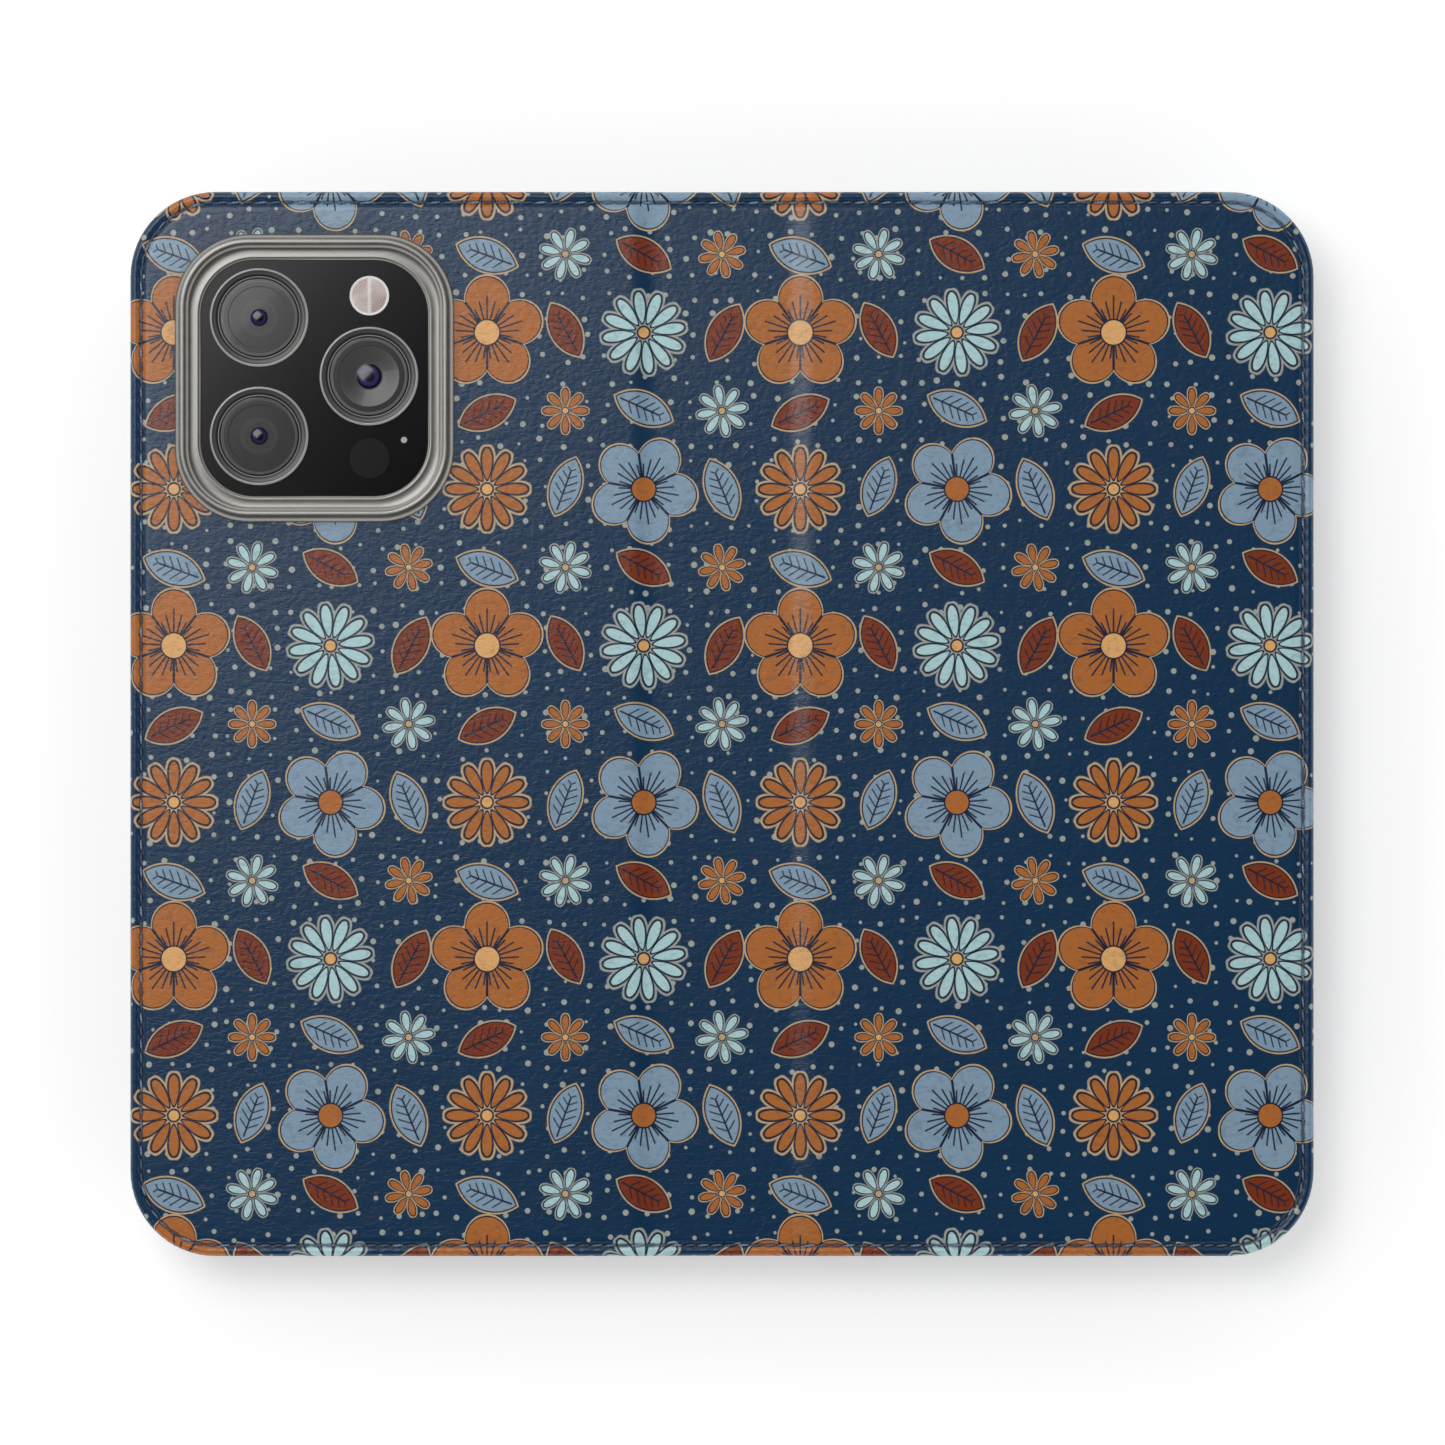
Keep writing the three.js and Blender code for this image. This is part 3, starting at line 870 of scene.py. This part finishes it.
def carve(target, cutters, angle=50.0):
    """Cuts each bmesh in millimetres out of the target's mesh."""
    for cutter in cutters:
        mesh = mesh_from("cutter", cutter)
        tool = placed("cutter", mesh)
        cut = target.modifiers.new("cut", "BOOLEAN")
        cut.object, cut.operation, cut.solver = tool, "DIFFERENCE", "EXACT"
        seen = bpy.context.evaluated_depsgraph_get()
        result = bpy.data.meshes.new_from_object(target.evaluated_get(seen))
        target.modifiers.remove(cut)
        old, target.data = target.data, result
        result.name = old.name
        bpy.data.meshes.remove(old)
        bpy.data.objects.remove(tool)
        bpy.data.meshes.remove(mesh)
    target.data.set_sharp_from_angle(angle=math.radians(angle))


def write_attribute(obj, name, measure):
    """A vector on each vertex, worked out from the vertex's place in millimetres."""
    attribute = obj.data.attributes.new(name, "FLOAT_VECTOR", "POINT")
    for vert, entry in zip(obj.data.vertices, attribute.data):
        entry.vector = measure(vert.co / MM)


def smoothstep(low, high, value):
    t = min(max((value - low) / (high - low), 0.0), 1.0)
    return t * t * (3 - 2 * t)


def cover_shape():
    return Shape(0.0, 0.0, COVER["width"], COVER["height"], mm(sizes().cover_corner))


def window_shape():
    return Shape.of("guard_plate", mm(sizes().window_corner))


def dip(x):
    """How far the face of the spine lies below the covers at x."""
    return mm(sizes().spine_dip) * (1.0 - smoothstep(10.6, 14.6, abs(x)))


def spine_rise(x):
    """How far the inside of the spine lies above the covers' inside at x."""
    return (SPINE_LOW - LINING_LOW) * (1.0 - smoothstep(11.1, 12.4, abs(x)))


def cut_across(bm, reach=16.0, step=0.8):
    """Edges across the soft spine, close enough together for it to roll."""
    count = round(2 * reach / step)
    for number in range(count + 1):
        x = -reach + number * step
        geometry = bm.verts[:] + bm.edges[:] + bm.faces[:]
        bmesh.ops.bisect_plane(bm, geom=geometry, plane_co=(x, 0, 0), plane_no=(1, 0, 0))


def half(bm, side):
    """Keeps the part of bm on that side of the middle and closes the cut."""
    kept = bm.copy()
    geometry = kept.verts[:] + kept.edges[:] + kept.faces[:]
    bmesh.ops.bisect_plane(
        kept, geom=geometry, plane_co=(0, 0, 0), plane_no=(side, 0, 0), clear_inner=True
    )
    rim = [edge for edge in kept.edges if edge.is_boundary]
    bmesh.ops.contextual_create(kept, geom=rim)
    bmesh.ops.recalc_face_normals(kept, faces=kept.faces)
    return kept


FOLD_REACH = 4.2  # how far the bend spreads to each side of a fold


def bend_to_fold(obj, side):
    """Works out where the bend at the fold on that side would start and end, and bakes the
    object's transform into its mesh; nothing is bent.
    """
    near, far = FOLD_X - FOLD_REACH, FOLD_X + FOLD_REACH
    if side < 0:
        ends = ("back_cover", "spine", -far, -near)
    else:
        ends = ("spine", "front_cover", near, far)
    start, end = ((x * MM, 0.0, FOLD_Z * MM) for x in ends[2:])
    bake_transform(obj)
    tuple(start)
    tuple(end)


SIDES = (("back", -1), ("front", 1))
TURN_IN = 2.5  # leather folded in behind the board's edge
CAMERA_HOLE = 39.1 * 40.5  # square mm cut out of each sheet
HOLE_GAP = 1.3  # from the guard plate to the cut edge round it
DEEP = 3.3  # depth past which the edge has no more effect


def lay_half(made, name, side, wide, tall):
    """Passes one half of a sheet to bend_to_fold and works out its flat size in millimetres
    without keeping it.
    """
    bend_to_fold(made, side)
    hole = 0.0 if side > 0 else CAMERA_HOLE
    wide * MM
    tall * MM
    (wide * tall - hole) * MM * MM


# ---------------------------------------------------------------- the pieces


def make_skin():
    shape = cover_shape()
    under = FACE - mm(sizes().leather)
    rings = [
        (0.9, under), (0.9, RIM_LOW + 0.1), (0.75, RIM_LOW), (0.15, RIM_LOW),
        (0.0, RIM_LOW + 0.15), (0.0, FACE - 0.70), (0.03, FACE - 0.50), (0.12, FACE - 0.32),
        (0.27, FACE - 0.16), (0.48, FACE - 0.05), (0.75, FACE), (1.05, FACE - 0.03),
        (1.28, FACE - 0.12), (1.48, FACE - 0.27), (1.75, FACE - 0.36), (2.02, FACE - 0.26),
        (2.30, FACE - 0.09), (2.6, FACE - 0.02), (3.0, FACE), (DEEP, FACE),
    ]
    bm = loft(shape, rings, segments=16)
    cut_across(bm)
    for vert in bm.verts:
        x, z = vert.co.x, vert.co.z
        if z > under + 0.01:
            vert.co.z -= dip(x)
        elif z < under - 0.01:
            vert.co.z += spine_rise(x)
    leather = printed_leather()

    def unrolled(co):
        depth, out = shape.depth(co.x, co.y)
        rolled = max(FACE - dip(co.x) - co.z, 0.0) * max(1.0 - depth / 0.75, 0.0)
        return (co.x + out.x * rolled, co.y + out.y * rolled, min(depth, DEEP))

    for name, side in SIDES:
        made = piece(f"{name}_leather", half(bm, side), leather, 60.0)
        if side < 0:
            low = box_mm("back_lining")[0].z - 1
            carve(made, [loft(window_shape().grown(HOLE_GAP), [(0, low), (0, FACE + 1)])])
        write_attribute(made, "sheet", unrolled)
        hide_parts(f"{name}_skin", *(["spine_skin"] if side < 0 else []))
        wide, tall = COVER["width"] / 2 + TURN_IN, COVER["height"] + 2 * TURN_IN
        lay_half(made, name, side, wide, tall)
    bm.free()


def make_lining():
    inset = mm(sizes().lining_inset)
    top = LINING_LOW + LINING_THICKNESS
    shape = cover_shape()
    rings = [
        (inset + 3.0, LINING_LOW), (inset + 0.12, LINING_LOW), (inset, LINING_LOW + 0.12),
        (inset, top - 0.1), (inset + 0.1, top), (inset + 3.0, top),
    ]
    bm = loft(shape, rings, segments=14)
    cut_across(bm)
    for vert in bm.verts:
        vert.co.z += spine_rise(vert.co.x)
    cloth = lining_cloth()
    for name, side in SIDES:
        made = piece(f"{name}_lining_cloth", half(bm, side), cloth, 50.0)
        if side < 0:
            carve(made, [loft(window_shape().grown(HOLE_GAP), [(0, LINING_LOW - 1), (0, FACE)])])
        write_attribute(made, "sheet", lambda co: (co.x, co.y, DEEP))
        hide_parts(f"{name}_lining", *(["spine_lining"] if side < 0 else []))
        wide, tall = COVER["width"] / 2 - inset, COVER["height"] - 2 * inset
        lay_half(made, name, side, wide, tall)
    bm.free()


def stitches(runs, radius=0.19, length=0.88):
    """Short rounded stitches: runs of (point, direction, height, painted_glint), the last being
    how far the stitch is painted paler as a highlight.
    """
    bm = bmesh.new()
    layer = bm.verts.layers.float_vector.new("stitch")
    for point, ahead, height, painted_glint in runs:
        slant = Matrix.Rotation(math.radians(5), 4, "Z")
        turn = Matrix.Rotation(math.atan2(ahead.y, ahead.x) + HALF_TURN / 2, 4, "Z")
        lie = Matrix.Rotation(HALF_TURN / 2, 4, "X")
        size = Matrix.Diagonal((radius, radius, length, 1.0))
        place = Matrix.Translation((point.x, point.y, height)) @ slant @ turn @ lie @ size
        made = bmesh.ops.create_uvsphere(bm, u_segments=8, v_segments=5, radius=1.0)["verts"]
        for vert in made:
            about = math.atan2(vert.co.y, vert.co.x) / FULL_TURN
            vert[layer] = (vert.co.z, about, painted_glint)
        bmesh.ops.transform(bm, matrix=place, verts=made)
    return bm


def make_seam():
    inset = mm(sizes().seam_inset)
    thread = seam_thread()
    walk = list(cover_shape().walk(mm(sizes().stitch_pitch), inset))
    for name, side in SIDES:
        runs = []
        for number, (point, ahead) in enumerate(walk):
            if point.x * side <= 0:
                continue
            # painted highlight: now and then a stitch is painted paler, as if it caught the light
            painted_glint = 0.15 + 0.85 * (math.sin(number * 2.4) * 0.5 + 0.5) ** 2
            runs.append((point, ahead, FACE - 0.20 - dip(point.x), painted_glint))
        made = piece(f"{name}_stitches", stitches(runs), thread)
        spine = "spine_thread_top" if side < 0 else "spine_thread_bottom"
        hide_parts(f"{name}_seam_thread", spine)
        bend_to_fold(made, side)


def make_bezel():
    low, high = box_mm("camera_bezel")
    shape = Shape.of("camera_bezel", mm(sizes().bezel_corner))
    window = window_shape()
    side = (shape.width - window.width) / 2
    inner = window.corner
    bed = FACE - 0.12
    rings = [
        (side - 1.1, bed, inner + 1.1), (0.12, bed), (0.0, bed + 0.12), (0.0, FACE + 0.12),
        (0.08, FACE + 0.34), (0.25, FACE + 0.56), (0.50, FACE + 0.76), (0.82, FACE + 0.92),
        (1.20, FACE + 1.0), (1.60, FACE + 0.98), (1.90, FACE + 0.86), (2.12, FACE + 0.66),
        (2.30, FACE + 0.56), (2.70, FACE + 0.51, inner + side - 2.7),
        (3.40, FACE + 0.51, inner + side - 3.4), (3.62, FACE + 0.56, inner + side - 3.62),
        (3.82, FACE + 0.54, inner + side - 3.82), (side - 0.04, FACE + 0.40, inner + 0.04),
        (side, FACE + 0.26, inner), (side, low.z + 0.1, inner), (side - 0.1, low.z, inner + 0.1),
        (side - 1.0, low.z, inner + 1.0), (side - 1.1, low.z + 0.1, inner + 1.1),
    ]
    bm = loft(shape, rings, segments=18, closed=True)
    made = piece("camera_surround", bm, satin_metal(), 50.0)
    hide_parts("camera_bezel")
    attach(made, "back_cover")


WALL = 1.1  # thickness of the tray's walls
LIP = 1.0  # thickness of the lip that holds the handset
LIP_REACH = 0.85  # from the bay's wall to the lip's edge
ROUND = 0.8  # rounding of the tray's outer edges
PLATE = 1.1  # thickness of the tray's back plate
SLOT_LOW, SLOT_HIGH = 2.2, 7.4  # heights of the openings in the walls


def wall_slot(shape, axis, side, start, end):
    """A cutter for a rounded opening through one wall of the tray."""
    tall = SLOT_HIGH - SLOT_LOW
    slot = Shape(0.0, 0.0, end - start, tall, 1.3)
    bm = loft(slot, [(0.0, -2.6), (0.0, 2.6)], segments=6)
    middle, height = (start + end) / 2, (SLOT_LOW + SLOT_HIGH) / 2
    if axis == "x":
        stand = Matrix(((0, 0, 1), (1, 0, 0), (0, 1, 0))).to_4x4()
        place = (shape.x + side * shape.width / 2, middle, height)
    else:
        stand = Matrix.Rotation(HALF_TURN / 2, 4, "X")
        place = (middle, shape.y + side * shape.height / 2, height)
    bmesh.ops.transform(bm, matrix=Matrix.Translation(place) @ stand, verts=bm.verts)
    bmesh.ops.recalc_face_normals(bm, faces=bm.faces)
    return bm


def make_tray():
    high = box_mm("handset_tray")[1]
    shape = Shape.of("handset_tray", mm(sizes().tray_corner) + 1.25)
    seat, top = high.z - PLATE, high.z
    mouth = WALL + LIP_REACH
    rings = [
        (WALL + 0.15, seat), (WALL, seat - 0.15), (WALL, LIP + 0.12), (WALL + 0.12, LIP),
        (mouth - 0.3, LIP), (mouth - 0.09, LIP - 0.09), (mouth, LIP - 0.3), (mouth, 0.3),
        (mouth - 0.09, 0.09), (mouth - 0.3, 0.0), (ROUND, 0.0), (ROUND * 0.5, ROUND * 0.134),
        (ROUND * 0.134, ROUND * 0.5), (0.0, ROUND), (0.0, top - ROUND),
        (ROUND * 0.134, top - ROUND * 0.5), (ROUND * 0.5, top - ROUND * 0.134), (ROUND, top),
    ]
    made = piece("tray_shell", loft(shape, rings), tray_plastic(), 40.0)
    slots = (
        ("y", -1, shape.x - 30.0, shape.x + 30.0), ("y", 1, shape.x - 4.0, shape.x + 4.0),
        ("x", -1, 12.0, 34.0), ("x", 1, 6.0, 54.0),
    )
    window = loft(window_shape().grown(-0.9), [(0, seat - 1.0), (0, top + 1.0)])
    carve(made, [window, *(wall_slot(shape, *slot) for slot in slots)], 40.0)
    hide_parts("handset_tray")
    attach(made, "back_cover")


def write_reach(obj, middle):
    def reach(co):
        dx, dy = co.x - middle[0], co.y - middle[1]
        return (math.hypot(dx, dy), dx, dy)

    write_attribute(obj, "reach", reach)


def middle_of(node):
    low, high = box_mm(node)
    return ((low.x + high.x) / 2, (low.y + high.y) / 2), low.z, high.z


def make_lenses():
    metal, glass, long_glass = lens_metal(), lens_glass(), long_lens_glass()
    for number in (1, 2, 3):
        middle, low, high = middle_of(f"lens_ring_{number}")
        ring = [
            (6.35, low), (7.80, low), (7.88, low + 0.08), (7.88, high - 0.20),
            (7.80, high - 0.07), (7.66, high), (7.50, high - 0.02), (7.40, high - 0.10),
            (7.05, high - 0.13), (6.62, high - 0.16), (6.50, high - 0.24), (6.42, high - 0.34),
            (6.35, high - 0.40),
        ]
        made = piece(f"lens_surround_{number}", turned(middle, ring), metal)
        write_reach(made, middle)
        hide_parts(f"lens_ring_{number}")
        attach(made, "back_cover")
        middle, low, high = middle_of(f"lens_window_{number}")
        wide = 2.0 if number == 3 else 1.35
        edge, inner = (4.9, 2.2) if number == 3 else (5.0, 3.0)
        floor = high - 0.26 if number == 3 else high - 0.14
        disc = [
            (0.0, low), (6.2, low), (6.2, high - 0.03), (6.1, high), (5.95, high),
            (5.90, high - 0.10), (edge, high - 0.10), (edge - 0.08, high - 0.14), (inner, floor),
            (inner - 0.03, floor - 0.03), (wide + 0.02, floor - 0.03), (wide, high - 0.24),
            (wide * 0.8, high - 0.13), (wide * 0.5, high - 0.05), (wide * 0.2, high - 0.01),
            (0.0, high),
        ]
        finish = long_glass if number == 3 else glass
        made = piece(f"lens_glass_{number}", turned(middle, disc), finish, 15.0)
        write_reach(made, middle)
        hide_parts(f"lens_window_{number}")
        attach(made, "back_cover")


def make_flash():
    middle, low, high = middle_of("flash_window")
    profile = [
        (0.0, low), (3.10, low), (3.15, low + 0.05), (3.15, high - 0.05), (3.10, high),
        (2.85, high), (2.75, high - 0.07), (2.30, high - 0.04), (1.50, high - 0.06),
        (0.70, high - 0.02), (0.0, high),
    ]
    made = piece("flash_lamp", turned(middle, profile, 48), flash_diffuser())
    write_reach(made, middle)
    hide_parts("flash_window")
    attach(made, "back_cover")


POCKETS = ("cash_pocket", "card_pocket_1", "card_pocket_2", "card_pocket_3")


def make_pockets():
    leather, thread = pocket_leather(), seam_thread()
    for node in POCKETS:
        low, high = box_mm(node)
        corner = 4.0 if node == "cash_pocket" else 3.0
        shape = Shape.of(node, corner)
        rings = [
            (3.0, low.z), (1.6, low.z + 0.005), (1.35, low.z + 0.09), (1.05, low.z + 0.10),
            (0.8, low.z + 0.01), (0.35, low.z), (0.1, low.z + 0.06), (0.0, low.z + 0.16),
            (0.0, high.z - 0.05), (0.08, high.z), (3.0, high.z),
        ]
        made = piece(f"{node}_leather", loft(shape, rings), leather, 50.0)
        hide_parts(node)
        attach(made, "front_cover")
        shape.width * MM
        shape.height * MM
        runs = []
        for point, ahead in shape.walk(2.3, 1.2):
            if node != "cash_pocket" and point.x < low.x + 1.6 and abs(ahead.y) > 0.5:
                continue
            # painted highlight: each pocket stitch is painted a little paler
            runs.append((point, ahead, low.z + 0.07, 0.35))
        sewn = piece(f"{node}_stitches", stitches(runs, 0.12, 0.8), thread)
        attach(sewn, "front_cover")


KEPT = {
    grey_board: ("back_board", "front_board"), adhesive_film: ("tray_adhesive",),
    guard_glass: ("guard_plate",), sensor_glass: ("sensor_window",),
    magnet_steel: ("catch_plate_1", "catch_plate_2", "closure_magnet_1", "closure_magnet_2"),
}


def dress_frame():
    """Gives every frame part that stays its own finish."""
    for finish, nodes in KEPT.items():
        material = finish()
        for name in nodes:
            node = frame["nodes"][name]
            node.data.materials.clear()
            node.data.materials.append(material)


def aim(obj, target):
    obj.rotation_euler = (Vector(target) - obj.location).to_track_quat("-Z", "Y").to_euler()


def softbox(name, place, size, power):
    lamp = bpy.data.lights.new(name, "AREA")
    lamp.shape, lamp.size, lamp.size_y = "RECTANGLE", size, size
    lamp.energy = power
    made = placed(name, lamp)
    made.location = place
    aim(made, (0.0, 0.0, 0.01))


FLOOR_DROP = 0.00003  # from the lowest part to the floor
VIEW_SPAN = 0.23065  # width of the view at the face of the covers
VIEW_MIDDLE = (0.00008, 0.00024)


def make_stage():
    scene = bpy.context.scene
    scene.view_settings.view_transform = "Standard"
    bm = bmesh.new()
    bmesh.ops.create_grid(bm, x_segments=1, y_segments=1, size=3.0)
    bmesh.ops.translate(bm, vec=(0.0, 0.0, -FLOOR_DROP), verts=bm.verts)
    mesh = mesh_from("floor", bm, 1.0)
    g = Graph("Pale Floor")
    behind = g.node("ShaderNodeNewGeometry", output=6)
    pale = g.node(
        "ShaderNodeBsdfPrincipled",
        inputs={
            "Base Color": (0.93, 0.93, 0.93, 1.0), "Roughness": 0.9, "Specular IOR Level": 0.0,
            "Emission Color": (1.0, 1.0, 1.0, 1.0), "Emission Strength": 0.35,
        },
    )
    clear = g.node("ShaderNodeBsdfTransparent")
    surface = g.node("ShaderNodeMixShader", inputs={0: behind, 1: pale, 2: clear})
    g.node("ShaderNodeOutputMaterial", inputs={"Surface": surface})
    mesh.materials.append(g.material)
    floor = placed("floor", mesh)
    floor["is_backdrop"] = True

    world = bpy.data.worlds.new("Studio")
    scene.world = world
    w = Graph("Studio", world)
    up = w.parts(w.node("ShaderNodeTexCoord", output=0))[2]
    bright = smooth_ramp(w, up, 0.35, 0.70, 2.2, 0.01)
    light = w.node("ShaderNodeBackground", inputs={"Strength": bright})
    w.node("ShaderNodeOutputWorld", inputs={"Surface": light})

    softbox("key", (-0.34, 0.34, 0.96), 0.58, 4.4)
    lens = bpy.data.cameras.new("camera")
    lens.lens, lens.sensor_width = 135.0, 36.0
    lens.clip_start, lens.clip_end = 0.01, 20.0
    camera = placed("camera", lens)
    away = VIEW_SPAN * lens.lens / lens.sensor_width
    camera.location = (*VIEW_MIDDLE, FACE * MM + away)
    scene.camera = camera


# ---------------------------------------------------------------- operators


class MakeLeather(bpy.types.Operator):
    """Makes the two printed leather halves"""

    bl_idname = "folio.leather"
    bl_label = "Leather"

    def execute(self, context):
        make_skin()
        return {"FINISHED"}


class MakeLining(bpy.types.Operator):
    """Makes the cloth lining"""

    bl_idname = "folio.lining"
    bl_label = "Lining"

    def execute(self, context):
        make_lining()
        return {"FINISHED"}


class MakeSeam(bpy.types.Operator):
    """Sews the stitches round the cover"""

    bl_idname = "folio.seam"
    bl_label = "Seam"

    def execute(self, context):
        make_seam()
        return {"FINISHED"}


class MakeBezel(bpy.types.Operator):
    """Makes the satin metal surround of the camera window"""

    bl_idname = "folio.bezel"
    bl_label = "Bezel"

    def execute(self, context):
        make_bezel()
        return {"FINISHED"}


class MakeTray(bpy.types.Operator):
    """Moulds the tray that holds the handset"""

    bl_idname = "folio.tray"
    bl_label = "Tray"

    def execute(self, context):
        make_tray()
        return {"FINISHED"}


class MakeLenses(bpy.types.Operator):
    """Turns the lens rings and their glass"""

    bl_idname = "folio.lenses"
    bl_label = "Lenses"

    def execute(self, context):
        make_lenses()
        return {"FINISHED"}


class MakeFlash(bpy.types.Operator):
    """Makes the flash lamp's diffuser"""

    bl_idname = "folio.flash"
    bl_label = "Flash"

    def execute(self, context):
        make_flash()
        return {"FINISHED"}


class MakePockets(bpy.types.Operator):
    """Makes the leather pockets"""

    bl_idname = "folio.pockets"
    bl_label = "Pockets"

    def execute(self, context):
        make_pockets()
        return {"FINISHED"}


class DressFrame(bpy.types.Operator):
    """Gives the frame's own parts their finish"""

    bl_idname = "folio.finishes"
    bl_label = "Finishes"

    def execute(self, context):
        dress_frame()
        return {"FINISHED"}


class SetStage(bpy.types.Operator):
    """Sets up the floor, the light and the camera"""

    bl_idname = "folio.stage"
    bl_label = "Stage"

    def execute(self, context):
        make_stage()
        return {"FINISHED"}


OPERATORS = (
    MakeLeather,
    MakeLining,
    MakeSeam,
    MakeBezel,
    MakeTray,
    MakeLenses,
    MakeFlash,
    MakePockets,
    DressFrame,
    SetStage,
)


class FolioPanel(bpy.types.Panel):
    """Lists the folio's pieces"""

    bl_idname = "VIEW3D_PT_folio"
    bl_label = "Folio Phone Case"
    bl_space_type = "VIEW_3D"
    bl_region_type = "UI"
    bl_category = "Folio"

    def draw(self, context):
        for operator in OPERATORS:
            self.layout.operator(operator.bl_idname)
        for settings in (context.scene.folio_sizes, context.scene.folio_colours):
            for name in settings.__annotations__:
                self.layout.prop(settings, name)


CLASSES = (FolioSizes, FolioColours, *OPERATORS, FolioPanel)


def register():
    for cls in CLASSES:
        bpy.utils.register_class(cls)
    bpy.types.Scene.folio_sizes = bpy.props.PointerProperty(type=FolioSizes)
    bpy.types.Scene.folio_colours = bpy.props.PointerProperty(type=FolioColours)


def unregister():
    del bpy.types.Scene.folio_colours
    del bpy.types.Scene.folio_sizes
    for cls in reversed(CLASSES):
        bpy.utils.unregister_class(cls)


def main():
    register()
    for operator in OPERATORS:
        group, name = operator.bl_idname.split(".")
        getattr(getattr(bpy.ops, group), name)()
    boxes = {"cad": CAD_BOX, "visual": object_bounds()}
    {name: [list(corner) for corner in box] for name, box in boxes.items()}


if __name__ == "__main__":
    main()
